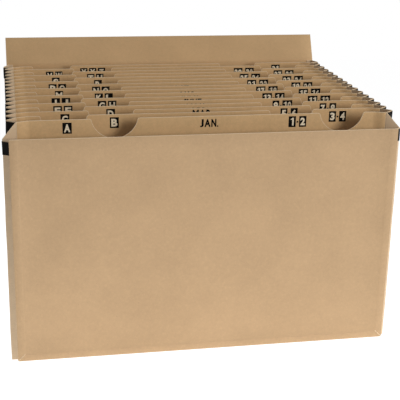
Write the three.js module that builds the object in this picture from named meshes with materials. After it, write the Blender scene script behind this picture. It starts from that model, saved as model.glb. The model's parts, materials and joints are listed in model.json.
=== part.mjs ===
// Expanding file folder, legal size, standing open with its pockets spread.
// Millimetres. X runs across the folder, Y from the front board to the back board, Z up.
// The origin is on the table, under the middle of the space that the folder takes up.

import * as THREE from 'three';

// Boards
const FOLDER_WIDTH = 381;
const FRONT_HEIGHT = 228.6;
const BOARD = 0.9;
const BOARD_CORNER = 1.5;
const BACK_RISE = 1; // the back board's fold line stands this far above the dividers

// Pockets
const DIVIDERS = 16;
const DIVIDER_CARD = 0.5;
const DIVIDER_RISE = 12.7; // dividers' top edges above the front board's
const DIVIDER_INSET = 7.2; // inner folds of the gusset, in from the boards' side edges
const END_POCKET_DEPTH = 16; // front board to first divider, and last divider to back board

// Thumb notches in the dividers' top edges
const NOTCH_NEAR = 90; // from the folder's middle
const NOTCH_FAR = 137.5;
const NOTCH_RADIUS = 22.8;
const NOTCH_RISE = 3.4; // the notch's centre lies this far above the top edge
const NOTCH_FILLET = 2.5;

// Pleated gusset: one strip of paper down the left side, along the bottom and up the right side
const GUSSET_PAPER = 0.5;
const PLEAT_PLY = 12.7; // crease to crease along the paper
const FOLD_CREST = 0.8; // flat width of one fold
const PLY_SPREAD = 42.25; // degrees that a ply has swung open from the closed folder
const END_PLY_SPREAD = 16; // the same for the ply beside the first and the last divider
const FOOT_DROP = 3; // bottom folds below the feet of the boards
const FLANGE_WIDTH = 7.6; // glued to the inside of each board
const FLANGE_FOLD_INSET = 0.3; // the flange's fold, in from the board's edge
const FLANGE_TOP_DROP = 0.5; // the front flange's top, below the front board's
const FIRST_FOLD_DIP = 2; // top of the first outer fold, below the front board's

// Cloth tape over the gusset's top edges
const TAPE_WIDTH = 12.7;
const TAPE_CLOTH = 0.3;
const TAPE_START = 0.6; // along the first ply, past the flange's fold
const TAPE_FIRST_DROP = 2.3; // top of the tape below the paper's, on the first pleat

// Flap that carries on from the back board
const FLAP_LENGTH = 32.5; // fold line to free edge
const FLAP_LEAN = 28; // degrees back from upright
const SCORE_GAP = 0.15; // fold line to the edge of each board
const SCORE_TAPER = 2; // length over which the score presses the board thin
const SCORE_THICKNESS = 0.1;

// Clearances
const GLUE_LINE = 0.05;
const DIVIDER_SEAT = 0.15;

const NOTCH_STEPS = 14;
const FILLET_STEPS = 3;

const radians = THREE.MathUtils.degToRad;

// Sizes that follow from those above
const plyFlat = PLEAT_PLY - FOLD_CREST;
const pleatDepth = plyFlat * Math.cos(radians(PLY_SPREAD));
const pocketPitch = 2 * (plyFlat * Math.sin(radians(PLY_SPREAD)) + FOLD_CREST);
const endPleatDepth = plyFlat * Math.cos(radians(END_PLY_SPREAD));
const endFoldToDivider = plyFlat * Math.sin(radians(END_PLY_SPREAD)) + FOLD_CREST;

const boardFoot = FOOT_DROP;
const frontTop = boardFoot + FRONT_HEIGHT;
const dividerTop = frontTop + DIVIDER_RISE;
const backTop = dividerTop + BACK_RISE;

const firstDividerY = BOARD + END_POCKET_DEPTH;
const lastDividerY = firstDividerY + (DIVIDERS - 1) * pocketPitch;
const backInnerY = lastDividerY + END_POCKET_DEPTH;
const hingeY = backInnerY + BOARD / 2;
const hingeZ = backTop + SCORE_GAP;
const flapLean = radians(FLAP_LEAN);
const totalDepth = hingeY + FLAP_LENGTH * Math.sin(flapLean) + (BOARD / 2) * Math.cos(flapLean);

// Materials
function kraftBoard() {
  return new THREE.MeshStandardMaterial({ color: 0xb8946b, roughness: 0.85, metalness: 0 });
}

function kraftCard() {
  return new THREE.MeshStandardMaterial({ color: 0xb9956a, roughness: 0.88, metalness: 0 });
}

function kraftPaper() {
  return new THREE.MeshStandardMaterial({ color: 0xc6a27c, roughness: 0.9, metalness: 0 });
}

function blackCloth() {
  return new THREE.MeshStandardMaterial({ color: 0x17150f, roughness: 0.8, metalness: 0 });
}

// A named piece
function piece(name, geometry, material) {
  const mesh = new THREE.Mesh(geometry, material);
  mesh.name = name;
  return mesh;
}

// Adds an arc to an outline as straight steps
function addArc(shape, centreX, centreZ, radius, from, to, steps) {
  for (let i = 0; i <= steps; i += 1) {
    const angle = from + ((to - from) * i) / steps;
    shape.lineTo(centreX + radius * Math.cos(angle), centreZ + radius * Math.sin(angle));
  }
}

// A sheet cut to an outline in X and Z, its thickness running back along +Y from y = 0
function uprightSheet(shape, thickness) {
  const geometry = new THREE.ExtrudeGeometry(shape, { depth: thickness, bevelEnabled: false });
  geometry.rotateX(Math.PI / 2);
  geometry.translate(0, thickness, 0);
  return geometry;
}

// A strip as wide as the folder, with a section of points [y, z]
function acrossFolder(section) {
  const shape = new THREE.Shape(section.map(([y, z]) => new THREE.Vector2(y, z)));
  const geometry = new THREE.ExtrudeGeometry(shape, { depth: FOLDER_WIDTH, bevelEnabled: false });
  geometry.rotateX(Math.PI / 2);
  geometry.rotateZ(Math.PI / 2);
  geometry.translate(-FOLDER_WIDTH / 2, 0, 0);
  return geometry;
}

function frontBoard() {
  const halfWidth = FOLDER_WIDTH / 2;
  const right = halfWidth - BOARD_CORNER;
  const low = boardFoot + BOARD_CORNER;
  const high = frontTop - BOARD_CORNER;
  const shape = new THREE.Shape();
  shape.moveTo(-right, boardFoot);
  addArc(shape, right, low, BOARD_CORNER, -Math.PI / 2, 0, FILLET_STEPS);
  addArc(shape, right, high, BOARD_CORNER, 0, Math.PI / 2, FILLET_STEPS);
  addArc(shape, -right, high, BOARD_CORNER, Math.PI / 2, Math.PI, FILLET_STEPS);
  addArc(shape, -right, low, BOARD_CORNER, Math.PI, 1.5 * Math.PI, FILLET_STEPS);
  return piece('front_board', uprightSheet(shape, BOARD), kraftBoard());
}

// The back board is pressed thin at its top, where the flap folds
function backBoard() {
  const half = BOARD / 2;
  const thin = SCORE_THICKNESS / 2;
  const section = [
    [-half, boardFoot],
    [half, boardFoot],
    [half, backTop - SCORE_TAPER],
    [thin, backTop],
    [-thin, backTop],
    [-half, backTop - SCORE_TAPER],
  ];
  const mesh = piece('back_board', acrossFolder(section), kraftBoard());
  mesh.position.y = hingeY;
  return mesh;
}

// The flap, built upright from the fold line and leant back about it
function flap() {
  const half = BOARD / 2;
  const thin = SCORE_THICKNESS / 2;
  const section = [
    [-thin, SCORE_GAP],
    [thin, SCORE_GAP],
    [half, SCORE_GAP + SCORE_TAPER],
    [half, FLAP_LENGTH],
    [-half, FLAP_LENGTH],
    [-half, SCORE_GAP + SCORE_TAPER],
  ];
  const mesh = piece('flap', acrossFolder(section), kraftBoard());
  mesh.position.set(0, hingeY, hingeZ);
  mesh.rotation.x = -flapLean;
  return mesh;
}

// Cuts one thumb notch into an outline that runs along the top edge towards -X
function addNotch(shape, centreX, top) {
  const reach = NOTCH_RADIUS + NOTCH_FILLET;
  const drop = NOTCH_RISE + NOTCH_FILLET;
  const shoulder = Math.sqrt(reach * reach - drop * drop);
  const slope = Math.atan2(drop, shoulder);
  const filletZ = top - NOTCH_FILLET;
  const upright = Math.PI / 2;
  addArc(shape, centreX + shoulder, filletZ, NOTCH_FILLET, upright, Math.PI - slope, FILLET_STEPS);
  addArc(shape, centreX, top + NOTCH_RISE, NOTCH_RADIUS, -slope, slope - Math.PI, NOTCH_STEPS);
  addArc(shape, centreX - shoulder, filletZ, NOTCH_FILLET, slope, upright, FILLET_STEPS);
}

// A divider fills the gusset from inner fold to inner fold. Each shows the index of the next one
// through its two notches, so the notches of neighbours alternate.
function divider(number) {
  const halfWidth = FOLDER_WIDTH / 2 - DIVIDER_INSET - GUSSET_PAPER / 2 - DIVIDER_SEAT;
  const foot = GUSSET_PAPER + pleatDepth + DIVIDER_SEAT;
  const odd = number % 2 === 1;
  const shape = new THREE.Shape();
  shape.moveTo(-halfWidth, foot);
  shape.lineTo(halfWidth, foot);
  shape.lineTo(halfWidth, dividerTop);
  addNotch(shape, odd ? NOTCH_FAR : NOTCH_NEAR, dividerTop);
  addNotch(shape, odd ? -NOTCH_NEAR : -NOTCH_FAR, dividerTop);
  shape.lineTo(-halfWidth, dividerTop);
  const name = `divider_${String(number).padStart(2, '0')}`;
  const mesh = piece(name, uprightSheet(shape, DIVIDER_CARD), kraftCard());
  mesh.position.y = firstDividerY + (number - 1) * pocketPitch - DIVIDER_CARD / 2;
  return mesh;
}

// One crease line of the gusset, in the middle of the paper:
// inset from the boards' side edges, y, its foot under the folder, and its top
function crease(inset, y, foot, top) {
  return { inset, y, foot, top };
}

// The two edges of a fold's flat crest
function fold(inset, y, foot, top) {
  return [
    crease(inset, y - FOLD_CREST / 2, foot, top),
    crease(inset, y + FOLD_CREST / 2, foot, top),
  ];
}

const outerFoot = GUSSET_PAPER / 2;
const innerFoot = outerFoot + pleatDepth;

function flangeCrease(inset, y, top) {
  return crease(inset, y, boardFoot + inset, top);
}

// All creases between the two flanges, from the front board to the back
function pleatCreases() {
  const endInset = DIVIDER_INSET - endPleatDepth;
  const outerInset = DIVIDER_INSET - pleatDepth;
  const firstFoldY = firstDividerY - endFoldToDivider;
  const lastFoldY = lastDividerY + endFoldToDivider;
  const creases = fold(endInset, firstFoldY, outerFoot, frontTop - FIRST_FOLD_DIP);
  for (let i = 0; i < DIVIDERS; i += 1) {
    const y = firstDividerY + i * pocketPitch;
    creases.push(...fold(DIVIDER_INSET, y, innerFoot, dividerTop));
    if (i < DIVIDERS - 1) {
      creases.push(...fold(outerInset, y + pocketPitch / 2, outerFoot, dividerTop));
    }
  }
  creases.push(...fold(endInset, lastFoldY, outerFoot, dividerTop));
  return creases;
}

function gussetCreases() {
  const frontY = BOARD + GLUE_LINE + GUSSET_PAPER / 2;
  const backY = backInnerY - GLUE_LINE - GUSSET_PAPER / 2;
  const flangeTop = frontTop - FLANGE_TOP_DROP;
  return [
    flangeCrease(FLANGE_WIDTH, frontY, flangeTop),
    flangeCrease(FLANGE_FOLD_INSET, frontY, flangeTop),
    ...pleatCreases(),
    flangeCrease(FLANGE_FOLD_INSET, backY, dividerTop),
    flangeCrease(FLANGE_WIDTH, backY, dividerTop),
  ];
}

// Moves a line of creases sideways by a distance, mitred at each crease.
// A positive distance is towards the outside of the folder.
function offsetCreases(creases, distance) {
  const outward = (a, b) => {
    const along = new THREE.Vector2(b.inset - a.inset, b.y - a.y).normalize();
    return new THREE.Vector2(-along.y, along.x);
  };
  const last = creases.length - 1;
  return creases.map((point, i) => {
    const before = i > 0 ? outward(creases[i - 1], point) : outward(point, creases[1]);
    const after = i < last ? outward(point, creases[i + 1]) : before;
    const mitre = before.clone().add(after);
    mitre.multiplyScalar(distance / (1 + before.dot(after)));
    return crease(point.inset + mitre.x, point.y + mitre.y, point.foot + mitre.x, point.top);
  });
}

// A closed skin through rings of points, each ring a strip with an outer and an inner line.
// The rings' ends are capped strip by strip.
function stripSolid(rings) {
  const count = rings[0].length;
  const half = count / 2;
  const positions = rings.flat(2);
  const indices = [];
  const quad = (a, b, c, d) => indices.push(a, b, c, a, c, d);
  for (let ring = 0; ring < rings.length - 1; ring += 1) {
    for (let i = 0; i < count; i += 1) {
      const next = (i + 1) % count;
      const here = ring * count;
      quad(here + i, here + next, here + count + next, here + count + i);
    }
  }
  const end = (rings.length - 1) * count;
  for (let i = 0; i < half - 1; i += 1) {
    const mate = count - 1 - i;
    quad(i, mate, mate - 1, i + 1);
    quad(end + i, end + i + 1, end + mate - 1, end + mate);
  }
  const geometry = new THREE.BufferGeometry();
  geometry.setAttribute('position', new THREE.Float32BufferAttribute(positions, 3));
  geometry.setIndex(indices);
  geometry.computeVertexNormals();
  return geometry;
}

// The strip's section as one closed line: along its outer face and back along its inner face
function stripSection(creases, innerOffset, outerOffset) {
  return [...offsetCreases(creases, outerOffset), ...offsetCreases(creases, innerOffset).reverse()];
}

function gusset() {
  const section = stripSection(gussetCreases(), -GUSSET_PAPER / 2, GUSSET_PAPER / 2);
  const side = FOLDER_WIDTH / 2;
  const rings = [
    section.map((p) => [p.inset - side, p.y, p.top]),
    section.map((p) => [p.inset - side, p.y, p.foot]),
    section.map((p) => [side - p.inset, p.y, p.foot]),
    section.map((p) => [side - p.inset, p.y, p.top]),
  ];
  return piece('gusset', stripSolid(rings), kraftPaper());
}

// The crease that lies a distance from one crease towards another
function along(from, towards, distance) {
  const length = Math.hypot(towards.inset - from.inset, towards.y - from.y);
  const share = distance / length;
  const mix = (key) => THREE.MathUtils.lerp(from[key], towards[key], share);
  return crease(mix('inset'), mix('y'), mix('foot'), mix('top'));
}

// Tape on the outside of the pleats at one side, from board to board
function edgeTape(name, side) {
  const creases = gussetCreases();
  const last = creases.length - 1;
  const lowered = (p) => (p.top < dividerTop ? { ...p, top: p.top - TAPE_FIRST_DROP } : p);
  const taped = [
    along(creases[1], creases[2], TAPE_START),
    ...creases.slice(2, last - 1),
    along(creases[last - 1], creases[last - 2], TAPE_START),
  ].map(lowered);
  const face = GUSSET_PAPER / 2 + GLUE_LINE;
  const section = stripSection(taped, face, face + TAPE_CLOTH);
  const edge = FOLDER_WIDTH / 2;
  const across = (p) => side * (edge - p.inset);
  const low = section.map((p) => [across(p), p.y, p.top - TAPE_WIDTH]);
  const high = section.map((p) => [across(p), p.y, p.top]);
  return piece(name, stripSolid(side < 0 ? [high, low] : [low, high]), blackCloth());
}

const folder = new THREE.Group();
folder.position.y = -totalDepth / 2;
folder.add(frontBoard(), backBoard(), flap(), gusset());
folder.add(edgeTape('left_edge_tape', -1), edgeTape('right_edge_tape', 1));
for (let number = 1; number <= DIVIDERS; number += 1) {
  folder.add(divider(number));
}

export default folder;
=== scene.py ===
import json
import math

import bmesh
import bpy
from mathutils import Matrix, Vector, noise


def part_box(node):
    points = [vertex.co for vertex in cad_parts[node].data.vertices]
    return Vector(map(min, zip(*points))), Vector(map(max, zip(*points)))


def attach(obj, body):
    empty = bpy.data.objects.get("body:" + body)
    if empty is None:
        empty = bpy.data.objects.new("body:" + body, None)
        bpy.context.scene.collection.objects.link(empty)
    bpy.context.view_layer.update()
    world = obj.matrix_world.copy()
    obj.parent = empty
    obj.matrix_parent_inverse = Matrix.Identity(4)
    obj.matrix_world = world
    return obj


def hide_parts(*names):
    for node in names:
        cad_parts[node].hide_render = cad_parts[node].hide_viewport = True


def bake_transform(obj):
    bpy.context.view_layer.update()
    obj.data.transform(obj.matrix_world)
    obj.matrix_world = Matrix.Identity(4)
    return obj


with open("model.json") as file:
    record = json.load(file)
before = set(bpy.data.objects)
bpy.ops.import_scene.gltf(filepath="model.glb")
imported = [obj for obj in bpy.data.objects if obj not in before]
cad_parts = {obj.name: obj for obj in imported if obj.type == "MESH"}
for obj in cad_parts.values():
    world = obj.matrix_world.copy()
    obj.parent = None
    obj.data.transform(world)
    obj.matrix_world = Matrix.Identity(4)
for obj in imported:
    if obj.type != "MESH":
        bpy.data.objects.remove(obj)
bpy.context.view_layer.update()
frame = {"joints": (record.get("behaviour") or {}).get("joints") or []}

# Sizes in metres. The boards, pleats, notches and tape repeat the CAD model's sizes. The end pleats
# and the tape's upper edge stray from it a little, as real paper and cloth do.
FOLDER_HALF = 0.1905
FRONT_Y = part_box("front_board")[0].y
FRONT_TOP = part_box("front_board")[1].z
BOARD_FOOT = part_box("front_board")[0].z
DIVIDER_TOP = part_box("divider_01")[1].z
DIVIDER_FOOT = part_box("divider_01")[0].z
DIVIDER_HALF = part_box("divider_01")[1].x
BACK_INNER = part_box("back_board")[0].y
HINGE = Vector(frame["joints"][0]["pos_m"])
DIVIDERS = 16
BOARD = 0.0009
CARD = 0.0005
PAPER = 0.0005
CLOTH = 0.0003
GLUE_LINE = 0.00005

PLEAT_PLY = 0.0127
FOLD_CREST = 0.0008
PLY_SPREAD = math.radians(42.25)
END_PLY_SPREAD = math.radians(16)
DIVIDER_INSET = 0.0072
FLANGE_WIDTH = 0.0076
FLANGE_FOLD_INSET = 0.0019
END_PLEAT_BULGE = 0.0016
LAST_PLEAT_TUCK = 0.0014
FLANGE_TOP_DROP = 0.0005
FIRST_FOLD_DIP = 0.002
TAPE_WIDTH = 0.0127
TAPE_START = 0.0006
TAPE_LIFT = 0.00012
TAPE_DROPS = {-1: 0.0012, 1: 0.0009}
TAPE_FIRST_DROPS = {-1: 0.0012, 1: 0}

FLAP_LENGTH = 0.0325
FLAP_LEAN = math.radians(28)
FOLD_REACH = 0.0015

NOTCH_NEAR = 0.090
NOTCH_FAR = 0.1375
NOTCH_RADIUS = 0.0228
NOTCH_RISE = 0.0034
NOTCH_FILLET = 0.0025

# The boards: cut corners and rims, the glued flange that shows through, and how far they belly.
BOARD_CORNER = 0.0015
BOARD_RIM = 0.00025
BOARD_GRID = 0.016
BOARD_GRID_MARGIN = 0.012
RELIEF = 0.00028
RELIEF_SOFTNESS = 0.0005
MITRE_RIDGE = 0.00035
MITRE_WIDTH = 0.0006
PANEL_BELLY = 0.0006
BACK_BELLY = 0.0005

# The pressed score: its half width, the groove on the inside and the ridge on the outside.
SCORE_REACH = 0.0016
SCORE_GROOVE = 0.00022
SCORE_RIDGE = 0.00008
SCORE_ROWS = [-0.006, -0.0035, -0.0022, -0.0015, -0.001, -0.0006, -0.0003]

# How far a fold strays inwards or outwards and back or forth, and how far a ply bellies.
FOLD_STRAY = 0.0005
FOLD_SHIFT = 0.0009
PLY_BELLY = 0.0006
PLY_RIM = 0.0002
PLY_MIDDLES = (0.25, 0.5, 0.75)
SIDE_STATIONS = 14
BOTTOM_STATIONS = 16
TAPE_STATIONS = 4

# The dividers: bend beside the held ends, lean, wave, and a painted highlight along the cut edges.
SIDE_BEND = 0.0034
SIDE_BEND_WIDTH = 0.013
CARD_LEAN = 0.0022
CARD_WAVE = 0.0009
CARD_GRID = 0.012
CARD_END_STEP = 0.0015
CARD_END_COLUMNS = 9
CARD_ROW = 0.020
CARD_TOP_BAND = 0.030
CARD_TOP_ROW = 0.008
CARD_TOP_OVERLAP = 0.002
EDGE_HIGHLIGHT_BAND = 0.00035
CARD_RIM = 0.00023

PLY_FLAT = PLEAT_PLY - FOLD_CREST
PLEAT_DEPTH = PLY_FLAT * math.cos(PLY_SPREAD)
END_PLEAT_DEPTH = PLY_FLAT * math.cos(END_PLY_SPREAD)
END_FOLD_TO_DIVIDER = PLY_FLAT * math.sin(END_PLY_SPREAD) + FOLD_CREST


def divider_y(number):
    """The middle of a divider's thickness."""
    low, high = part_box(f"divider_{number:02d}")
    return (low.y + high.y) / 2


def smooth_step(low, high, value):
    """0 up to low, 1 from high on, and an even S curve between."""
    share = min(max((value - low) / (high - low), 0), 1)
    return share * share * (3 - 2 * share)


def new_group(name, inputs, outputs):
    """An empty shader node group with named sockets: {name: (socket type, default)}."""
    group = bpy.data.node_groups.new(name, "ShaderNodeTree")
    for socket, (kind, default) in inputs.items():
        made = group.interface.new_socket(socket, in_out="INPUT", socket_type=kind)
        if default is not None:
            made.default_value = default
    for socket, kind in outputs.items():
        group.interface.new_socket(socket, in_out="OUTPUT", socket_type=kind)
    return group


def add_node(tree, kind, **settings):
    """A new node with its properties set."""
    node = tree.nodes.new(kind)
    for name, value in settings.items():
        setattr(node, name, value)
    return node


def math_node(tree, operation, first, second=None, clamp=False):
    """One sum on numbers or sockets."""
    node = add_node(tree, "ShaderNodeMath", operation=operation, use_clamp=clamp)
    for socket, value in zip(node.inputs, (first, second)):
        if value is None:
            continue
        if isinstance(value, (int, float)):
            socket.default_value = value
        else:
            tree.links.new(value, socket)
    return node.outputs[0]


def noise_node(tree, vector, scale, detail=2.0, rough=0.5, stretch=None):
    """Noise of so many lumps per metre. A stretch gives each axis its own."""
    if stretch:
        mapping = add_node(tree, "ShaderNodeMapping")
        mapping.inputs["Scale"].default_value = stretch
        tree.links.new(vector, mapping.inputs["Vector"])
        vector = mapping.outputs[0]
    node = add_node(tree, "ShaderNodeTexNoise")
    node.inputs["Scale"].default_value = scale
    node.inputs["Detail"].default_value = detail
    node.inputs["Roughness"].default_value = rough
    tree.links.new(vector, node.inputs["Vector"])
    return node.outputs[0]


def ramp_mask(tree, value, low, high):
    """0 below low, 1 above high."""
    node = add_node(tree, "ShaderNodeMapRange")
    node.inputs["From Min"].default_value = low
    node.inputs["From Max"].default_value = high
    tree.links.new(value, node.inputs["Value"])
    return node.outputs[0]


def kraft_fibres():
    """Pulp clouds, fine grain, lying fibres and specks of kraft paper.
    Shade is about 0.5 on average, Specks marks dark bits, and Height is for a Bump node."""
    inputs = {
        "Vector": ("NodeSocketVector", None),
        "Clouds": ("NodeSocketFloat", 0.5),
        "Grain": ("NodeSocketFloat", 0.5),
    }
    outputs = {"Shade": "NodeSocketFloat", "Specks": "NodeSocketFloat", "Height": "NodeSocketFloat"}
    tree = new_group("kraft_fibres", inputs, outputs)
    given = add_node(tree, "NodeGroupInput")
    vector = given.outputs["Vector"]
    broad = noise_node(tree, vector, 22, 3, 0.55)
    clouds = noise_node(tree, vector, 260, 3, 0.6)
    grain = noise_node(tree, vector, 1500, 3, 0.7)
    fibre_run = noise_node(tree, vector, 1.0, 2, 0.5, (420, 2600, 420))
    fibre_cross = noise_node(tree, vector, 1.0, 2, 0.5, (2600, 420, 2600))
    fibres = math_node(tree, "MAXIMUM", fibre_run, fibre_cross)
    layers = (
        (clouds, 0.5, given.outputs["Clouds"]),
        (broad, 0.5, 0.5),
        (grain, 0.5, given.outputs["Grain"]),
        (fibres, 0.58, 0.6),
    )
    parts = []
    for pattern, middle, strength in layers:
        centred = math_node(tree, "SUBTRACT", pattern, middle)
        parts.append(math_node(tree, "MULTIPLY", centred, strength))
    total = parts[0]
    for part in parts[1:]:
        total = math_node(tree, "ADD", total, part)
    shade = math_node(tree, "ADD", total, 0.5, clamp=True)
    cells = add_node(tree, "ShaderNodeTexVoronoi", feature="F1")
    cells.inputs["Scale"].default_value = 330
    tree.links.new(vector, cells.inputs["Vector"])
    near = ramp_mask(tree, cells.outputs["Distance"], 0.10, 0.05)
    chosen = ramp_mask(tree, noise_node(tree, vector, 120, 0), 0.56, 0.66)
    specks = math_node(tree, "MULTIPLY", near, chosen, clamp=True)
    height = math_node(tree, "ADD", math_node(tree, "MULTIPLY", grain, 0.6), fibres)
    result = add_node(tree, "NodeGroupOutput")
    tree.links.new(shade, result.inputs["Shade"])
    tree.links.new(specks, result.inputs["Specks"])
    tree.links.new(height, result.inputs["Height"])
    return tree


def cloth_weave():
    """Plain weave of book cloth, from coordinates in metres along the two thread directions."""
    inputs = {"Vector": ("NodeSocketVector", None), "Threads per metre": ("NodeSocketFloat", 1600.0)}
    outputs = {"Thread": "NodeSocketFloat", "Height": "NodeSocketFloat"}
    tree = new_group("cloth_weave", inputs, outputs)
    given = add_node(tree, "NodeGroupInput")
    scaled = add_node(tree, "ShaderNodeVectorMath", operation="SCALE")
    tree.links.new(given.outputs["Vector"], scaled.inputs[0])
    tree.links.new(given.outputs["Threads per metre"], scaled.inputs["Scale"])
    split = add_node(tree, "ShaderNodeSeparateXYZ")
    tree.links.new(scaled.outputs[0], split.inputs[0])
    waves = []
    for axis in ("X", "Y"):
        turn = math_node(tree, "MULTIPLY", split.outputs[axis], math.pi)
        waves.append(math_node(tree, "SINE", turn))
    crossing = math_node(tree, "MULTIPLY", waves[0], waves[1])
    warp = math_node(tree, "ABSOLUTE", waves[0])
    weft = math_node(tree, "ABSOLUTE", waves[1])
    over = ramp_mask(tree, crossing, -0.2, 0.2)
    mix = add_node(tree, "ShaderNodeMix", data_type="FLOAT")
    tree.links.new(over, mix.inputs["Factor"])
    tree.links.new(warp, mix.inputs["A"])
    tree.links.new(weft, mix.inputs["B"])
    slub = noise_node(tree, given.outputs["Vector"], 900, 2, 0.6)
    height = math_node(tree, "ADD", mix.outputs[0], math_node(tree, "MULTIPLY", slub, 0.5))
    result = add_node(tree, "NodeGroupOutput")
    tree.links.new(mix.outputs[0], result.inputs["Thread"])
    tree.links.new(height, result.inputs["Height"])
    return tree


def new_material(name, colour, roughness):
    """A material with its node tree and its Principled shader."""
    material = bpy.data.materials.new(name)
    material.use_nodes = True
    material.diffuse_color = (*colour, 1)
    shader = material.node_tree.nodes["Principled BSDF"]
    shader.inputs["Base Color"].default_value = (*colour, 1)
    shader.inputs["Roughness"].default_value = roughness
    return material, material.node_tree, shader


def coordinates(tree, uv_map):
    """The piece's UV map where it has one, or else Object coordinates."""
    if uv_map:
        return add_node(tree, "ShaderNodeUVMap", uv_map=uv_map).outputs[0]
    return add_node(tree, "ShaderNodeTexCoord").outputs["Object"]


def mix_colour(tree, factor, first, second):
    """A blend of two colours or colour sockets."""
    node = add_node(tree, "ShaderNodeMix", data_type="RGBA")
    tree.links.new(factor, node.inputs["Factor"])
    for socket, value in (("A", first), ("B", second)):
        target = [item for item in node.inputs if item.name == socket and item.type == "RGBA"][0]
        if isinstance(value, tuple):
            target.default_value = (*value, 1)
        else:
            tree.links.new(value, target)
    return [item for item in node.outputs if item.type == "RGBA"][0]


def tinted(colour, factor):
    """The colour made darker or lighter."""
    return tuple(part * factor for part in colour)


def vary_roughness(tree, shader, mask, low, high):
    """Roughness from low to high as the mask goes from 0 to 1."""
    shine = add_node(tree, "ShaderNodeMapRange")
    shine.inputs["To Min"].default_value = low
    shine.inputs["To Max"].default_value = high
    tree.links.new(mask, shine.inputs["Value"])
    tree.links.new(shine.outputs[0], shader.inputs["Roughness"])


def add_relief(tree, shader, height, strength, distance):
    """A fine bump, so many metres high."""
    relief = add_node(tree, "ShaderNodeBump")
    relief.inputs["Strength"].default_value = strength
    relief.inputs["Distance"].default_value = distance
    tree.links.new(height, relief.inputs["Height"])
    tree.links.new(relief.outputs[0], shader.inputs["Normal"])


def kraft_material(name, colour, roughness, clouds, grain, bump, uv_map=None, contrast=0.22):
    """Kraft paper or board. Contrast is how far its pulp strays from the colour, dark and light."""
    material, tree, shader = new_material(name, colour, roughness)
    fibres = add_node(tree, "ShaderNodeGroup", node_tree=KRAFT_FIBRES)
    fibres.inputs["Clouds"].default_value = clouds
    fibres.inputs["Grain"].default_value = grain
    tree.links.new(coordinates(tree, uv_map), fibres.inputs["Vector"])
    dark = tinted(colour, 1 - contrast)
    light = tinted(colour, 1 + contrast)
    body = mix_colour(tree, fibres.outputs["Shade"], dark, light)
    flecked = mix_colour(tree, fibres.outputs["Specks"], body, tinted(colour, 0.6))
    tree.links.new(flecked, shader.inputs["Base Color"])
    vary_roughness(tree, shader, fibres.outputs["Shade"], roughness + 0.08, roughness - 0.08)
    add_relief(tree, shader, fibres.outputs["Height"], 0.5, bump)
    shader.inputs["Specular IOR Level"].default_value = 0.35
    return material


def tape_material(name, colour):
    """Matt woven cloth, lighter on the crowns of its threads."""
    material, tree, shader = new_material(name, colour, 0.62)
    weave = add_node(tree, "ShaderNodeGroup", node_tree=CLOTH_WEAVE)
    tree.links.new(coordinates(tree, "sheet"), weave.inputs["Vector"])
    body = mix_colour(tree, weave.outputs["Thread"], tinted(colour, 0.5), tinted(colour, 1.6))
    tree.links.new(body, shader.inputs["Base Color"])
    vary_roughness(tree, shader, weave.outputs["Thread"], 0.8, 0.5)
    add_relief(tree, shader, weave.outputs["Height"], 0.7, 0.00012)
    shader.inputs["Specular IOR Level"].default_value = 0.04
    return material


def ink_material(name, colour):
    """Flat printing ink, a little worn through on the card's grain."""
    material, tree, shader = new_material(name, colour, 0.6)
    fibres = add_node(tree, "ShaderNodeGroup", node_tree=KRAFT_FIBRES)
    tree.links.new(coordinates(tree, None), fibres.inputs["Vector"])
    body = mix_colour(tree, fibres.outputs["Shade"], tinted(colour, 0.6), tinted(colour, 2.0))
    tree.links.new(body, shader.inputs["Base Color"])
    add_relief(tree, shader, fibres.outputs["Height"], 0.3, INK_FILM)
    shader.inputs["Specular IOR Level"].default_value = 0.05
    return material


KRAFT_FIBRES = kraft_fibres()
CLOTH_WEAVE = cloth_weave()
BOARD_COLOUR = (0.535, 0.355, 0.195)
INSIDE_COLOUR = (0.655, 0.425, 0.213)
CARD_COLOUR = (0.695, 0.450, 0.220)
PAPER_COLOUR = (0.710, 0.520, 0.330)
# The edge colour is far lighter than the paper and board. It is a painted highlight on cut edges,
# broken rims and the band along the dividers' edges, where light catches them.
EDGE_HIGHLIGHT_COLOUR = (0.900, 0.730, 0.500)
# The letters and figures left bare show the card, but their colour is painted far lighter than the
# card's. It is a painted highlight that keeps them bright in shade.
LIT_FIGURE_COLOUR = (0.930, 0.800, 0.580)
TAPE_COLOUR = (0.0027, 0.0024, 0.0020)
INK_COLOUR = (0.0022, 0.0018, 0.0014)
INK_FILM = 0.00003
EVEN_TONE = 0.06
board_face = kraft_material("calendered_kraft_board", BOARD_COLOUR, 0.66, 0.30, 0.45, 0.00004)
back_face = kraft_material(
    "kraft_board_by_the_sheet", INSIDE_COLOUR, 0.7, 0.30, 0.45, 0.00004, uv_map="sheet"
)
card_face = kraft_material("uncoated_kraft_card", CARD_COLOUR, 0.78, 0.45, 0.55, 0.00006)
paper_face = kraft_material("kraft_gusset_paper", PAPER_COLOUR, 0.8, 0.6, 0.6, 0.00008, "sheet")
# Painted highlight for the cut edges and broken rims.
edge_highlight_face = kraft_material("kraft_edge_painted_highlight", EDGE_HIGHLIGHT_COLOUR, 0.9, 0.5, 0.8, 0.00010, contrast=EVEN_TONE)
tape_face = tape_material("black_book_cloth", TAPE_COLOUR)
# Bare card of the characters, with a painted highlight: lighter than the card itself.
figures_painted_light = kraft_material(
    "bare_card_painted_lighter", LIT_FIGURE_COLOUR, 0.8, 0.3, 0.4, 0.00003, contrast=EVEN_TONE
)
print_ink = ink_material("index_printing_ink", INK_COLOUR)


def mesh_object(name, bm, *materials):
    """An object at the origin with the mesh as drawn."""
    mesh = bpy.data.meshes.new(name)
    bm.to_mesh(mesh)
    bm.free()
    for material in materials:
        mesh.materials.append(material)
    made = bpy.data.objects.new(name, mesh)
    bpy.context.collection.objects.link(made)
    return made


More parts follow.
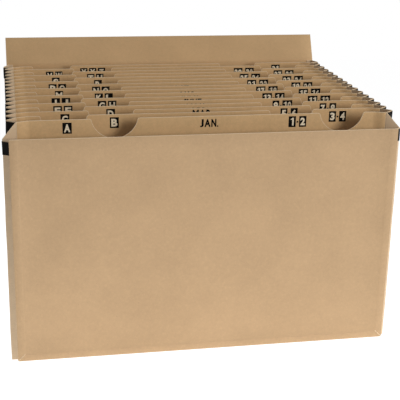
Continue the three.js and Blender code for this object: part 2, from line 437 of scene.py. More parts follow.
def thicken(piece, thickness, rim_material=True):
    """Gives a flat sheet its thickness about its middle. The cut edges take the second material."""
    modifier = piece.modifiers.new("thickness", "SOLIDIFY")
    modifier.thickness = thickness
    modifier.offset = 0
    modifier.use_even_offset = True
    modifier.use_quality_normals = True
    if rim_material:
        modifier.material_offset_rim = 1


def burnish(piece, width, least_angle=60):
    """Breaks the sharp rims of a cut sheet. The bevel takes the second material, a painted highlight.
    """
    modifier = piece.modifiers.new("bevelled_rim_highlight", "BEVEL")
    modifier.width = width
    modifier.segments = 1
    modifier.limit_method = "ANGLE"
    modifier.angle_limit = math.radians(least_angle)
    modifier.material = 1


def settle(piece, angle=30):
    """Makes the modifiers' result the piece's own mesh. Edges sharper than the angle stay sharp."""
    bpy.context.view_layer.update()
    ready = piece.evaluated_get(bpy.context.evaluated_depsgraph_get())
    mesh = bpy.data.meshes.new_from_object(ready)
    piece.modifiers.clear()
    old = piece.data
    piece.data = mesh
    mesh.name = piece.name
    bpy.data.meshes.remove(old)
    mesh.shade_smooth()
    mesh.set_sharp_from_angle(angle=math.radians(angle))


def cut_all(bm, point, normal, faces=None):
    """Adds an edge loop where a plane meets the mesh, or only the given faces of it."""
    if faces is None:
        geometry = bm.verts[:] + bm.edges[:] + bm.faces[:]
    else:
        edges = {edge for face in faces for edge in face.edges}
        verts = {vert for face in faces for vert in face.verts}
        geometry = list(verts) + list(edges) + list(faces)
    bmesh.ops.bisect_plane(bm, geom=geometry, dist=1e-7, plane_co=point, plane_no=normal)


def cut_columns(bm, places):
    """Upright edge loops at places across the folder."""
    for x in places:
        cut_all(bm, (x, 0, 0), (1, 0, 0))


def cut_rows(bm, places):
    """Level edge loops at heights."""
    for z in places:
        cut_all(bm, (0, 0, z), (0, 0, 1))


def spread(low, high, step):
    """Even places between low and high, ends left out."""
    count = max(1, round((high - low) / step))
    return [low + (high - low) * i / count for i in range(1, count)]


def box_mesh(low, high):
    """A box from its lowest to its highest corner."""
    bm = bmesh.new()
    bmesh.ops.create_cube(bm, size=1)
    bmesh.ops.scale(bm, vec=high - low, verts=bm.verts)
    bmesh.ops.translate(bm, vec=(low + high) / 2, verts=bm.verts)
    return bm


def round_edges(bm, edges, width, segments):
    """Rounds edges. The new faces take the material of their neighbours."""
    bmesh.ops.bevel(
        bm, geom=edges, offset=width, segments=segments, profile=0.5, affect="EDGES", material=-1
    )


def round_rims(bm):
    """Rounds the edges that run along a board's two faces."""
    rims = [e for e in bm.edges if abs(e.verts[0].co.y - e.verts[1].co.y) < 1e-6]
    round_edges(bm, rims, BOARD_RIM, 2)


def write_sheet_map(bm, place):
    """A UV map in metres, from a function that gives each vertex its place on the flat sheet."""
    layer = bm.loops.layers.uv.new("sheet")
    for face in bm.faces:
        for loop in face.loops:
            loop[layer].uv = place(loop.vert)


def front_panel():
    """The front board. The gusset's flange is glued inside it along three sides and shows through."""
    low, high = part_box("front_board")
    bm = box_mesh(low, high)
    corners = [e for e in bm.edges if abs(e.verts[0].co.y - e.verts[1].co.y) > BOARD / 2]
    round_edges(bm, corners, BOARD_CORNER, 4)
    round_rims(bm)
    soft = RELIEF_SOFTNESS
    lines = [FLANGE_WIDTH - soft, FLANGE_WIDTH, FLANGE_WIDTH + soft]
    cut_columns(bm, [sign * (FOLDER_HALF - line) for sign in (-1, 1) for line in lines])
    cut_rows(bm, [BOARD_FOOT + line for line in lines])
    inner_half = FOLDER_HALF - BOARD_GRID_MARGIN
    cut_columns(bm, spread(-inner_half, inner_half, BOARD_GRID))
    cut_rows(bm, spread(BOARD_FOOT + BOARD_GRID_MARGIN, FRONT_TOP, BOARD_GRID))
    reach = FLANGE_WIDTH + soft
    for sign in (-1, 1):
        corner = Vector((sign * FOLDER_HALF, 0, BOARD_FOOT))
        for shift in (-MITRE_WIDTH, 0, MITRE_WIDTH):
            near = [
                face
                for face in bm.faces
                if abs(face.calc_center_median().x) > FOLDER_HALF - reach
                and face.calc_center_median().z < BOARD_FOOT + reach
            ]
            cut_all(bm, corner + Vector((0, 0, shift)), (sign, 0, 1), near)
    for vert in bm.verts:
        x, z = vert.co.x, vert.co.z
        from_side = FOLDER_HALF - abs(x)
        from_foot = z - BOARD_FOOT
        inside = min(from_side, from_foot)
        if vert.co.y < low.y + BOARD / 2:
            border = 1 - smooth_step(FLANGE_WIDTH - soft, FLANGE_WIDTH + soft, inside)
            mitre = 1 - smooth_step(0, MITRE_WIDTH, abs(from_side - from_foot))
            if from_side > FLANGE_WIDTH or from_foot > FLANGE_WIDTH:
                mitre = 0
            vert.co.y -= RELIEF * border + MITRE_RIDGE * mitre
        vert.co.y += panel_bow(x, z)
    made = mesh_object("front_panel", bm, board_face, edge_highlight_face)
    mark_cut_edges(made)
    settle(made)
    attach(made, "folder")
    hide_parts("front_board")


def panel_bow(x, z):
    """The front board bellies out a little between its glued sides."""
    across = math.cos(math.pi * x / (2 * FOLDER_HALF))
    up = smooth_step(BOARD_FOOT, FRONT_TOP, z)
    return -PANEL_BELLY * across * up


def mark_cut_edges(piece):
    """Second material, a painted highlight, on faces along the sheet's edge and on upward faces."""
    for polygon in piece.data.polygons:
        if abs(polygon.normal.y) < 0.4 or polygon.normal.z > 0.3:
            polygon.material_index = 1


def back_sheet():
    """The back board and the flap are one sheet with a pressed score between them."""
    low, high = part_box("back_board")
    top = Vector((high.x, high.y, HINGE.z + FLAP_LENGTH))
    bm = box_mesh(low, top)
    round_rims(bm)
    fold_reach = -SCORE_ROWS[0]
    cut_columns(bm, spread(low.x, high.x, BOARD_GRID))
    cut_rows(bm, spread(low.z, HINGE.z - fold_reach, BOARD_GRID))
    cut_rows(bm, [HINGE.z + row for row in SCORE_ROWS + [0] + [-row for row in SCORE_ROWS]])
    cut_rows(bm, spread(HINGE.z + fold_reach, top.z, fold_reach))
    write_sheet_map(bm, lambda vert: (vert.co.x, vert.co.z))
    middle = HINGE.y
    for vert in bm.verts:
        height = vert.co.z - HINGE.z
        pressed = 1 - smooth_step(0, SCORE_REACH, abs(height))
        vert.co.y += pressed * (SCORE_GROOVE if vert.co.y < middle else SCORE_RIDGE)
        rise = vert.co.z - low.z
        vert.co.y += back_bow(vert.co.x, rise / (HINGE.z - low.z), height)
        bend = FLAP_LEAN * smooth_step(-FOLD_REACH, FOLD_REACH, height)
        turn = Matrix.Rotation(-bend, 3, "X")
        vert.co = HINGE + turn @ (vert.co - HINGE)
    made = mesh_object("back_sheet", bm, back_face, edge_highlight_face)
    mark_sheet_edges(made)
    settle(made, 40)
    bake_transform(made)
    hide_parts("back_board", "flap")


def back_bow(x, share, height):
    """The back board bellies out a little between its foot, where share is 0, and its score."""
    across = math.cos(math.pi * x / (2 * FOLDER_HALF))
    if height > 0:
        return 0
    return BACK_BELLY * across * math.sin(math.pi * min(max(share, 0), 1))


def mark_sheet_edges(piece):
    """Second material on the four cut edges of the back sheet."""
    flap_up = Vector((0, math.sin(FLAP_LEAN), math.cos(FLAP_LEAN)))
    for polygon in piece.data.polygons:
        normal = polygon.normal
        end_on = abs(normal.x) > 0.6 or normal.z < -0.9
        if end_on or (normal.dot(flap_up) > 0.9 and polygon.center.z > HINGE.z + FLAP_LENGTH / 2):
            polygon.material_index = 1


def crease(inset, y, foot, top):
    """One fold line: inset from the boards' side edges, y, height of its foot and of its top."""
    return (inset, y, foot, top)


def fold(inset, y, foot, top):
    """The two creases of a fold with a flat crest."""
    half = FOLD_CREST / 2
    return [crease(inset, y - half, foot, top), crease(inset, y + half, foot, top)]


def gusset_creases():
    """All fold lines, from the flange's edge at the front board to the one at the back board."""
    outer_foot = PAPER / 2
    inner_foot = outer_foot + PLEAT_DEPTH
    front_y = FRONT_Y + BOARD + GLUE_LINE + PAPER / 2
    back_y = BACK_INNER - GLUE_LINE - PAPER / 2
    flange_top = FRONT_TOP - FLANGE_TOP_DROP
    first_inset = DIVIDER_INSET - END_PLEAT_DEPTH - END_PLEAT_BULGE
    last_inset = DIVIDER_INSET - END_PLEAT_DEPTH + LAST_PLEAT_TUCK
    outer_inset = DIVIDER_INSET - PLEAT_DEPTH
    first_y = divider_y(1) - END_FOLD_TO_DIVIDER - END_PLEAT_BULGE
    last_y = divider_y(DIVIDERS) + END_FOLD_TO_DIVIDER
    lines = [
        crease(FLANGE_WIDTH, front_y, BOARD_FOOT + FLANGE_WIDTH, flange_top),
        crease(FLANGE_FOLD_INSET, front_y, BOARD_FOOT + FLANGE_FOLD_INSET, flange_top),
    ]
    lines += fold(first_inset, first_y, outer_foot, FRONT_TOP - FIRST_FOLD_DIP)
    for number in range(1, DIVIDERS + 1):
        here = divider_y(number)
        lines += fold(DIVIDER_INSET, here, inner_foot, DIVIDER_TOP)
        if number < DIVIDERS:
            between = (here + divider_y(number + 1)) / 2
            lines += fold(outer_inset, between, outer_foot, DIVIDER_TOP)
    lines += fold(last_inset, last_y, outer_foot, DIVIDER_TOP)
    lines += [
        crease(FLANGE_FOLD_INSET, back_y, BOARD_FOOT + FLANGE_FOLD_INSET, DIVIDER_TOP),
        crease(FLANGE_WIDTH, back_y, BOARD_FOOT + FLANGE_WIDTH, DIVIDER_TOP),
    ]
    return lines


def wandered(lines, path):
    """The creases at one place down the strip. Outer folds stray a little, as folded paper does."""
    moved = []
    for number, (inset, y, foot, top) in enumerate(lines):
        if inset < 0:
            pair = number // 2
            stray = noise.noise(Vector((pair * 3.7, path * 14, 1.3))) * FOLD_STRAY
            shift = noise.noise(Vector((pair * 5.1, path * 11, 8.7))) * FOLD_SHIFT
            inset, y, foot = inset + stray, y + shift, foot + abs(stray)
        moved.append((inset, y, foot, top))
    return moved


def with_middles(lines, path):
    """Adds lines within each wide ply, which bellies slightly."""
    full = [lines[0]]
    for number, (before, after) in enumerate(zip(lines, lines[1:])):
        width = math.hypot(after[0] - before[0], after[1] - before[1])
        if width > 0.004 and 0 < number < len(lines) - 2:
            for share in PLY_MIDDLES:
                mixed = [a + (b - a) * share for a, b in zip(before, after)]
                swell = noise.noise(Vector((number * 2.9, path * 9, 4.1))) * PLY_BELLY
                belly = swell * math.sin(math.pi * share)
                mixed[0] += belly * (after[1] - before[1]) / width
                mixed[1] -= belly * (after[0] - before[0]) / width
                full.append(tuple(mixed))
        full.append(after)
    return full


def offset_lines(lines, distance):
    """Moves the chain of creases sideways, mitred at each crease. Positive is outwards."""
    moved = []
    last = len(lines) - 1
    for i, (inset, y, foot, top) in enumerate(lines):
        before = outward(lines[i - 1], lines[i]) if i > 0 else outward(lines[0], lines[1])
        after = outward(lines[i], lines[i + 1]) if i < last else before
        mitre = (before + after) * (distance / (1 + before.dot(after)))
        moved.append((inset + mitre.x, y + mitre.y, foot + mitre.x, top))
    return moved


def outward(first, second):
    """The direction square to the paper from one crease to the next, out of the folder."""
    along = Vector((second[0] - first[0], second[1] - first[1])).normalized()
    return Vector((-along.y, along.x))


def strip(name, stations, lines_at, place, materials):
    """Lays the first row of points and extrudes it from station to station."""
    bm = bmesh.new()
    line = bm.verts.layers.int.new("line")
    path = bm.verts.layers.float.new("path")
    rows = [lines_at(station) for station in stations]
    verts = []
    for number, crease_here in enumerate(rows[0]):
        vert = bm.verts.new(place(crease_here, stations[0]))
        vert[line] = number
        vert[path] = stations[0]
        verts.append(vert)
    edges = [bm.edges.new(pair) for pair in zip(verts, verts[1:])]
    for station, row in zip(stations[1:], rows[1:]):
        made = bmesh.ops.extrude_edge_only(bm, edges=edges)["geom"]
        fresh = {item for item in made if isinstance(item, bmesh.types.BMVert)}
        edges = [
            item
            for item in made
            if isinstance(item, bmesh.types.BMEdge) and all(v in fresh for v in item.verts)
        ]
        for vert in fresh:
            vert.co = place(row[vert[line]], station)
            vert[path] = station
    across = [0.0]
    for first, second in zip(rows[0], rows[0][1:]):
        across.append(across[-1] + math.hypot(second[0] - first[0], second[1] - first[1]))
    write_sheet_map(bm, lambda vert: (across[vert[line]], vert[path]))
    bmesh.ops.recalc_face_normals(bm, faces=bm.faces)
    return mesh_object(name, bm, *materials)


def pleated_gusset():
    """One strip of folded paper, down the left side, along the bottom and up the right side.
    The path runs from 0 to 1 down the left, 1 to 2 along the bottom and 2 to 3 up the right."""
    lines = gusset_creases()

    def lines_at(path):
        return with_middles(wandered(lines, path), path)

    def place(here, path):
        inset, y, foot, top = here
        edge = FOLDER_HALF - inset
        if path <= 1:
            return Vector((-edge, y, top + (foot - top) * path))
        if path <= 2:
            return Vector((-edge + 2 * edge * (path - 1), y, foot))
        return Vector((edge, y, foot + (top - foot) * (path - 2)))

    stations = [i / SIDE_STATIONS for i in range(SIDE_STATIONS)]
    stations += [1 + i / BOTTOM_STATIONS for i in range(BOTTOM_STATIONS)]
    stations += [2 + i / SIDE_STATIONS for i in range(SIDE_STATIONS + 1)]
    made = strip("pleated_gusset", stations, lines_at, place, (paper_face, edge_highlight_face))
    thicken(made, PAPER)
    burnish(made, PLY_RIM, 80)
    settle(made, 28)
    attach(made, "folder")
    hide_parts("gusset")


def mixed_crease(first, second, distance):
    """A line on the ply from the first crease to the second, so far from the first."""
    length = math.hypot(second[0] - first[0], second[1] - first[1])
    share = distance / length
    return tuple(a + (b - a) * share for a, b in zip(first, second))


def lowered_on_first_pleat(here, side):
    """The tape sits lower where the gusset comes down to the front board."""
    inset, y, foot, top = here
    drop = TAPE_FIRST_DROPS[side] if top < DIVIDER_TOP - 0.001 else 0
    return (inset, y, foot, top - drop)


def edge_tape(name, side, node):
    """Cloth tape on the outside of the pleats, along their top."""
    lines = gusset_creases()
    last = len(lines) - 1
    face = PAPER / 2 + GLUE_LINE + CLOTH / 2 + TAPE_LIFT

    def lines_at(path):
        down = path * TAPE_WIDTH / (DIVIDER_TOP - PAPER)
        strip_path = down if side < 0 else 3 - down
        full = wandered(lines, strip_path)
        taped = [mixed_crease(full[1], full[2], TAPE_START)] + full[2 : last - 1]
        taped.append(mixed_crease(full[last - 1], full[last - 2], TAPE_START))
        taped = [lowered_on_first_pleat(here, side) for here in taped]
        padded = [lines[0]] + taped + [lines[last]]
        return offset_lines(with_middles(padded, strip_path)[1:-1], face)

    def place(here, path):
        inset, y, foot, top = here
        return Vector((side * (FOLDER_HALF - inset), y, top - TAPE_DROPS[side] - TAPE_WIDTH * path))

    stations = [i / TAPE_STATIONS for i in range(TAPE_STATIONS + 1)]
    made = strip(name, stations, lines_at, place, (tape_face,))
    thicken(made, CLOTH, rim_material=False)
    settle(made, 28)
    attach(made, "folder")
    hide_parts(node)


def card_bow(number, x, z):
    """How far a divider bows from flat at a place. The gusset holds its sides and foot."""
    across = math.cos(math.pi * x / (2 * DIVIDER_HALF))
    up = smooth_step(DIVIDER_FOOT, DIVIDER_TOP, z)
    lean = noise.noise(Vector((number * 4.7, 0.5, 2.2))) * CARD_LEAN
    wave = noise.noise(Vector((number * 2.3, x * 9, 7.7))) * CARD_WAVE
    held = smooth_step(0, SIDE_BEND_WIDTH, DIVIDER_HALF - abs(x))
    return up * (across * (lean + wave) + held * SIDE_BEND)


def run_to(bm, vert, x, z):
    """Draws a straight edge of the outline to a place."""
    made = bmesh.ops.extrude_vert_indiv(bm, verts=[vert])["verts"][0]
    made.co = Vector((x, vert.co.y, z))
    return made


def arc_about(bm, vert, x, z, degrees, steps):
    """Draws an arc of the outline about a centre, counter-clockwise as seen from the front."""
    before = set(bm.verts)
    centre = Vector((x, vert.co.y, z))
    angle = math.radians(degrees)
    axis = (0, -1, 0)
    bmesh.ops.spin(bm, geom=[vert], cent=centre, axis=axis, dvec=(0, 0, 0), angle=angle, steps=steps)
    fresh = [item for item in bm.verts if item not in before]
    want = centre + Matrix.Rotation(angle, 3, axis) @ (vert.co - centre)
    return min(fresh, key=lambda item: (item.co - want).length)


def draw_notch(bm, vert, centre_x):
    """A thumb notch with rounded shoulders, drawn from right to left."""
    reach = NOTCH_RADIUS + NOTCH_FILLET
    drop = NOTCH_RISE + NOTCH_FILLET
    shoulder = math.sqrt(reach * reach - drop * drop)
    slope = math.degrees(math.atan2(drop, shoulder))
    vert = run_to(bm, vert, centre_x + shoulder, DIVIDER_TOP)
    fillet_z = DIVIDER_TOP - NOTCH_FILLET
    vert = arc_about(bm, vert, centre_x + shoulder, fillet_z, 90 - slope, 6)
    vert = arc_about(bm, vert, centre_x, DIVIDER_TOP + NOTCH_RISE, -(180 - 2 * slope), 36)
    return arc_about(bm, vert, centre_x - shoulder, fillet_z, 90 - slope, 6)


def divider_card(number):
    """One index divider: its outline drawn and filled, bent as it hangs, then given its thickness."""
    y = divider_y(number)
    bm = bmesh.new()
    start = bm.verts.new((-DIVIDER_HALF, y, DIVIDER_FOOT))
    vert = run_to(bm, start, DIVIDER_HALF, DIVIDER_FOOT)
    vert = run_to(bm, vert, DIVIDER_HALF, DIVIDER_TOP)
    odd = number % 2 == 1
    for centre_x in (NOTCH_FAR, -NOTCH_NEAR) if odd else (NOTCH_NEAR, -NOTCH_FAR):
        vert = draw_notch(bm, vert, centre_x)
    vert = run_to(bm, vert, -DIVIDER_HALF, DIVIDER_TOP)
    bm.edges.new((vert, start))
    bmesh.ops.remove_doubles(bm, verts=bm.verts, dist=1e-6)
    bmesh.ops.contextual_create(bm, geom=bm.edges[:])
    # A thin band along the card's cut edges takes the light edge colour: a painted highlight.
    band = bmesh.ops.inset_region(
        bm, faces=bm.faces[:], thickness=EDGE_HIGHLIGHT_BAND, use_boundary=True, use_even_offset=True
    )
    for face in band["faces"]:
        face.material_index = 1
    cut_columns(bm, spread(-DIVIDER_HALF, DIVIDER_HALF, CARD_GRID))
    for side in (-1, 1):
        ends = [DIVIDER_HALF - CARD_END_STEP * step for step in range(1, CARD_END_COLUMNS + 1)]
        cut_columns(bm, [side * x for x in ends])
    cut_rows(bm, spread(DIVIDER_FOOT, DIVIDER_TOP - CARD_TOP_BAND, CARD_ROW))
    cut_rows(bm, spread(DIVIDER_TOP - CARD_TOP_BAND - CARD_TOP_OVERLAP, DIVIDER_TOP, CARD_TOP_ROW))
    for item in bm.verts:
        item.co.y += card_bow(number, item.co.x, item.co.z)
    made = mesh_object(f"divider_card_{number:02d}", bm, card_face, edge_highlight_face)
    thicken(made, CARD)
    burnish(made, CARD_RIM)
    settle(made)
    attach(made, "folder")
    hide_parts(f"divider_{number:02d}")


# The print on the dividers. Near and far are index places, beside the middle and beside the side.
INK_SINK = 0.00001
BOX_GLYPH_HEIGHT = 0.0078
BOX_GLYPH_WEIGHT = 0.00045
LETTERS = ["A", "B", "C", "D", "EF", "GH", "IJ", "KL", "M", "NO", "PQ", "R", "S", "TU", "VW", "XYZ"]
LETTER_BOX = (0.0088, 0.0108)
LETTER_GAP = 0.0018
LETTER_WIDTH = 0.0060
LETTER_WIDTHS = {"I": 0.0020, "J": 0.0046, "M": 0.0070, "W": 0.0076}
LETTERS_NEAR = -0.0886
LETTERS_FAR = -0.1354
LETTERS_DROP = 0.0030
DAY_BOX_WIDTH = 0.0074
WIDE_DAY_BOX_WIDTH = 0.0108
DAY_BOX_HEIGHT = 0.0111
DAY_GAP = 0.0034
DAYS_NEAR = 0.0920
DAYS_FAR = 0.1390
DAYS_DROP = 0.0026
DAY_SHIFTS = {
    3: 0.0007, 4: 0.0009, 5: 0.0032, 6: 0.0021, 7: 0.0029, 8: 0.0020, 9: 0.0043, 10: 0.0033,
    11: 0.0025, 12: 0.0024, 13: 0.0016, 14: 0.0009, 15: 0.0024,
}
FIGURE_PITCH = 0.0046
FIGURE_WIDTH = 0.0040
LONE_FIGURE_WIDTH = 0.0048
FIGURE_ONE_WIDTH = 0.0032
DASH = (0.0018, 0.0017)
DASH_DROP = 0.0058
MONTHS = [
    "JAN.", "FEB.", "MAR.", "APR.", "MAY", "JUNE", "JULY", "AUG.", "SEPT.", "OCT.", "NOV.", "DEC.",
]
MONTH_WIDTH = 0.0050
MONTH_WIDTHS = {
    "J": 0.0037, "A": 0.0062, "M": 0.0064, "L": 0.0042, "E": 0.0043, "F": 0.0043, "O": 0.0058,
}
MONTH_HEIGHT = 0.0080
MONTH_WEIGHT = 0.00044
MONTH_GAP = 0.0007
MONTH_STOP = 0.0013
MONTH_MIDDLE = 0.0025
MONTH_DROP = 0.0038
MONTH_DROPS = {1: 0.0031, 2: 0.0046, 3: 0.0017, 6: 0.0028, 8: 0.0030, 10: 0.0034}


def glyph_mesh(text, width, height, weight):
    """Capitals or figures as a thin flat solid of the given size, facing -Y, centred on its box."""
    curve = bpy.data.curves.new("lettering", "FONT")
    curve.body = text
    curve.size = 0.01
    curve.offset = weight
    curve.extrude = INK_FILM / 2
    curve.align_x = "CENTER"
    curve.resolution_u = 3
    holder = bpy.data.objects.new("lettering", curve)
    bpy.context.collection.objects.link(holder)
    bpy.context.view_layer.update()
    ready = holder.evaluated_get(bpy.context.evaluated_depsgraph_get())
    mesh = bpy.data.meshes.new_from_object(ready)
    bm = bmesh.new()
    bm.from_mesh(mesh)
    bpy.data.objects.remove(holder)
    bpy.data.curves.remove(curve)
    bpy.data.meshes.remove(mesh)
    bmesh.ops.remove_doubles(bm, verts=bm.verts, dist=1e-7)
    xs = [vert.co.x for vert in bm.verts]
    ys = [vert.co.y for vert in bm.verts]
    centre = Vector(((min(xs) + max(xs)) / 2, (min(ys) + max(ys)) / 2, 0))
    bmesh.ops.translate(bm, vec=-centre, verts=bm.verts)
    sizes = (width / (max(xs) - min(xs)), height / (max(ys) - min(ys)))
    bmesh.ops.scale(bm, vec=(sizes[0], sizes[1], 1), verts=bm.verts)
    bmesh.ops.rotate(bm, cent=(0, 0, 0), matrix=Matrix.Rotation(math.pi / 2, 3, "X"), verts=bm.verts)
    return bm


def figure_one(width, height):
    """A plain 1: a stem with a slanted flag at its top left."""
    stem = width * 0.5
    half = Vector((stem / 2, INK_FILM / 2, height / 2))
    bm = box_mesh(-half, half)
    bmesh.ops.translate(bm, vec=((width - stem) / 2, 0, 0), verts=bm.verts)
    flag = Vector((width * 0.42, INK_FILM / 2, height * 0.065))
    flag_bm = box_mesh(-flag, flag)
    slant = Matrix.Rotation(math.radians(-32), 3, "Y")
    bmesh.ops.rotate(flag_bm, cent=(0, 0, 0), matrix=slant, verts=flag_bm.verts)
    join_into(bm, flag_bm, Vector((-width * 0.10, -INK_FILM / 4, height * 0.37)))
    return bm


def month_mesh(month):
    """A month's short name, letter by letter at the height of its capitals, with its full stop."""
    bm = bmesh.new()
    letters = [letter for letter in month if letter != "."]
    widths = [MONTH_WIDTHS.get(letter, MONTH_WIDTH) for letter in letters]
    x = -(sum(widths) + MONTH_GAP * len(letters) + MONTH_STOP) / 2
    for letter, width in zip(letters, widths):
        glyph = glyph_mesh(letter, width, MONTH_HEIGHT, MONTH_WEIGHT)
        join_into(bm, glyph, Vector((x + width / 2, 0, 0)))
        x += width + MONTH_GAP
    if month.endswith("."):
        stop = Vector((x + MONTH_STOP / 2, 0, (MONTH_STOP - MONTH_HEIGHT) / 2))
        ink_box(bm, stop, (MONTH_STOP, MONTH_STOP))
    return bm


def join_into(target, source, offset):
    """Moves one mesh and adds it to another."""
    bmesh.ops.translate(source, vec=offset, verts=source.verts)
    mesh = bpy.data.meshes.new("joined")
    source.to_mesh(mesh)
    source.free()
    target.from_mesh(mesh)
    bpy.data.meshes.remove(mesh)


def ink_box(target, centre, size):
    """Adds a flat rectangle of ink."""
    half = Vector((size[0] / 2, INK_FILM / 2, size[1] / 2))
    join_into(target, box_mesh(-half, half), centre)


def print_letters(number, ink, left_bare, ink_y, bare_y):
    """Letter boxes in ink, with their letters left bare."""
    letters = LETTERS[number - 1]
    pitch = LETTER_BOX[0] + LETTER_GAP
    centre_x = LETTERS_FAR if number % 2 == 1 else LETTERS_NEAR
    z = DIVIDER_TOP - LETTERS_DROP - LETTER_BOX[1] / 2
    for i, letter in enumerate(letters):
        x = centre_x + (i - (len(letters) - 1) / 2) * pitch
        ink_box(ink, Vector((x, ink_y, z)), LETTER_BOX)
        width = LETTER_WIDTHS.get(letter, LETTER_WIDTH)
        glyph = glyph_mesh(letter, width, BOX_GLYPH_HEIGHT, BOX_GLYPH_WEIGHT)
        join_into(left_bare, glyph, Vector((x, bare_y, z)))


def print_days(number, ink, left_bare, ink_y, bare_y):
    """Day boxes in ink, with their figures left bare, and a dash between two."""
    first_day = 2 * number - 1
    days = [first_day, first_day + 1] if number < DIVIDERS else [first_day]
    widths = [DAY_BOX_WIDTH if day < 10 else WIDE_DAY_BOX_WIDTH for day in days]
    total = sum(widths) + DAY_GAP * (len(days) - 1)
    centre_x = (DAYS_NEAR if number % 2 == 1 else DAYS_FAR) + DAY_SHIFTS.get(number, 0)
    x = centre_x - total / 2
    top = DIVIDER_TOP - DAYS_DROP
    for day, width in zip(days, widths):
        centre = Vector((x + width / 2, ink_y, top - DAY_BOX_HEIGHT / 2))
        ink_box(ink, centre, (width, DAY_BOX_HEIGHT))
        figures = str(day)
        for i, figure in enumerate(figures):
            at = centre.x + (i - (len(figures) - 1) / 2) * FIGURE_PITCH
            figure_width = LONE_FIGURE_WIDTH if len(figures) == 1 else FIGURE_WIDTH
            if figure == "1":
                glyph = figure_one(FIGURE_ONE_WIDTH, BOX_GLYPH_HEIGHT)
            else:
                glyph = glyph_mesh(figure, figure_width, BOX_GLYPH_HEIGHT, BOX_GLYPH_WEIGHT)
            join_into(left_bare, glyph, Vector((at, bare_y, centre.z)))
        x += width + DAY_GAP
    if len(days) == 2:
        dash = centre_x - total / 2 + widths[0] + DAY_GAP / 2
        ink_box(ink, Vector((dash, ink_y, top - DASH_DROP)), DASH)


def index_print(number):
    """The letter boxes, day boxes and month of one divider, printed on its front."""
    front = divider_y(number) - CARD / 2
    ink = bmesh.new()
    left_bare = bmesh.new()
    ink_y = front - INK_FILM / 2
    bare_y = front - INK_FILM - INK_FILM / 2 + INK_SINK
    print_letters(number, ink, left_bare, ink_y, bare_y)
    print_days(number, ink, left_bare, ink_y, bare_y)
    if number <= len(MONTHS):
        drop = MONTH_DROPS.get(number, MONTH_DROP)
        centre = Vector((MONTH_MIDDLE, ink_y, DIVIDER_TOP - drop - MONTH_HEIGHT / 2))
        join_into(ink, month_mesh(MONTHS[number - 1]), centre)

    for bm in (ink, left_bare):
        for vert in bm.verts:
            vert.co.y += card_bow(number, vert.co.x, vert.co.z)
    boxes = mesh_object(f"index_boxes_{number:02d}", ink, print_ink)
    characters = mesh_object(f"index_characters_{number:02d}", left_bare, figures_painted_light)
    for made, slot_name in ((boxes, "index_ink"), (characters, "divider_card")):
        settle(made)
        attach(made, "folder")


front_panel()
back_sheet()
pleated_gusset()
edge_tape("left_cloth_tape", -1, "left_edge_tape")
edge_tape("right_cloth_tape", 1, "right_edge_tape")
for divider_number in range(1, DIVIDERS + 1):
    divider_card(divider_number)
    index_print(divider_number)


# The stage: floor, backdrop, lamp, and the camera solved from the photo.
FLOOR_HALF = 1.4
FLOOR_WHITE = (0.80, 0.80, 0.80)
FLOOR_GLOW = 1.22
FLOOR_GLOW_SHARE = 0.76
BOUNCE_FAR = 0.75
BOUNCE_NEAR = 0.45
TABLE_BOUNCE = 0.98
WORLD_COLOUR = (0.97, 0.98, 1.0)
WORLD_LIGHT = 0.25
KEY_PLACE = (2.13, -2.34, 1.09)
KEY_AIM = (0, 0, 0.15)
KEY_SIZE = 1.30
KEY_WATTS = 55
CAMERA_PLACE = (-0.18625, -1.05942, 0.47596)
CAMERA_YAW = math.radians(11.10)
CAMERA_PITCH = math.radians(18.66)
CAMERA_ROLL = math.radians(1.20)
CAMERA_LENS = 89.32


def seen_directly(tree):
    """1 for the camera's own rays and for those it sends through glass or off a shiny thing."""
    rays = add_node(tree, "ShaderNodeLightPath")
    seen = math_node(tree, "MAXIMUM", rays.outputs["Is Camera Ray"], rays.outputs["Is Glossy Ray"])
    return math_node(tree, "MAXIMUM", seen, rays.outputs["Is Transmission Ray"])


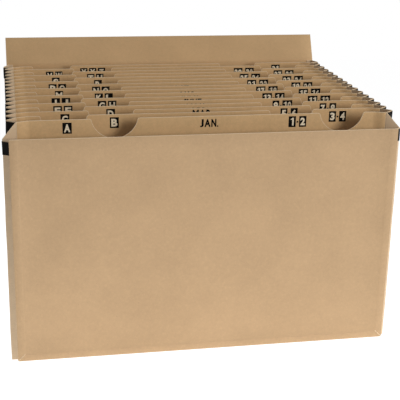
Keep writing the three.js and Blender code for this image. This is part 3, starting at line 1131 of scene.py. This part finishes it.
def white_floor():
    """A white table. Straight from the camera it is nearly pure white, and keeps a faint shadow."""
    bm = bmesh.new()
    bmesh.ops.create_grid(bm, x_segments=2, y_segments=2, size=FLOOR_HALF)
    material, tree, shader = new_material("white_table", FLOOR_WHITE, 0.9)
    shader.inputs["Specular IOR Level"].default_value = 0.1
    shader.inputs["Emission Color"].default_value = (1, 1, 1, 1)
    # Near the folder the table glows: painted bounce light, standing in for light thrown back off the
    # table onto the folder.
    distance = add_node(tree, "ShaderNodeVectorMath", operation="LENGTH")
    tree.links.new(add_node(tree, "ShaderNodeTexCoord").outputs["Object"], distance.inputs[0])
    near = ramp_mask(tree, distance.outputs["Value"], BOUNCE_FAR, BOUNCE_NEAR)
    bounce = math_node(tree, "MULTIPLY", near, TABLE_BOUNCE)
    tree.links.new(bounce, shader.inputs["Emission Strength"])
    glow = add_node(tree, "ShaderNodeEmission")
    glow.inputs["Strength"].default_value = FLOOR_GLOW
    share = math_node(tree, "MULTIPLY", seen_directly(tree), FLOOR_GLOW_SHARE)
    mix = add_node(tree, "ShaderNodeMixShader")
    tree.links.new(share, mix.inputs[0])
    tree.links.new(shader.outputs[0], mix.inputs[1])
    tree.links.new(glow.outputs[0], mix.inputs[2])
    tree.links.new(mix.outputs[0], tree.nodes["Material Output"].inputs["Surface"])
    floor = mesh_object("table_top", bm, material)


def white_world():
    """Even light all round. Seen directly it is pure white."""
    world = bpy.data.worlds.new("studio")
    bpy.context.scene.world = world
    world.use_nodes = True
    tree = world.node_tree
    light = tree.nodes["Background"]
    light.inputs["Color"].default_value = (*WORLD_COLOUR, 1)
    light.inputs["Strength"].default_value = WORLD_LIGHT
    backdrop = add_node(tree, "ShaderNodeBackground")
    backdrop.inputs["Color"].default_value = (1, 1, 1, 1)
    mix = add_node(tree, "ShaderNodeMixShader")
    tree.links.new(seen_directly(tree), mix.inputs[0])
    tree.links.new(light.outputs[0], mix.inputs[1])
    tree.links.new(backdrop.outputs[0], mix.inputs[2])
    tree.links.new(mix.outputs[0], tree.nodes["World Output"].inputs["Surface"])


def key_lamp():
    """A large soft lamp, high at the right."""
    lamp = bpy.data.lights.new("key", "AREA")
    lamp.shape = "SQUARE"
    lamp.size = KEY_SIZE
    lamp.energy = KEY_WATTS
    made = bpy.data.objects.new("key", lamp)
    bpy.context.collection.objects.link(made)
    made.location = KEY_PLACE
    made.rotation_euler = (Vector(KEY_AIM) - Vector(KEY_PLACE)).to_track_quat("-Z", "Y").to_euler()


def camera():
    """The photo's camera."""
    data = bpy.data.cameras.new("camera")
    data.lens = CAMERA_LENS
    data.sensor_width = 36
    data.clip_start = 0.05
    data.clip_end = 50
    made = bpy.data.objects.new("camera", data)
    bpy.context.collection.objects.link(made)
    turn = Matrix.Rotation(-CAMERA_YAW, 4, "Z") @ Matrix.Rotation(math.pi / 2 - CAMERA_PITCH, 4, "X")
    place = Matrix.Translation(CAMERA_PLACE)
    made.matrix_world = place @ turn @ Matrix.Rotation(CAMERA_ROLL, 4, "Z")
    bpy.context.scene.camera = made


white_floor()
white_world()
key_lamp()
camera()
bpy.context.scene.view_settings.view_transform = "Standard"
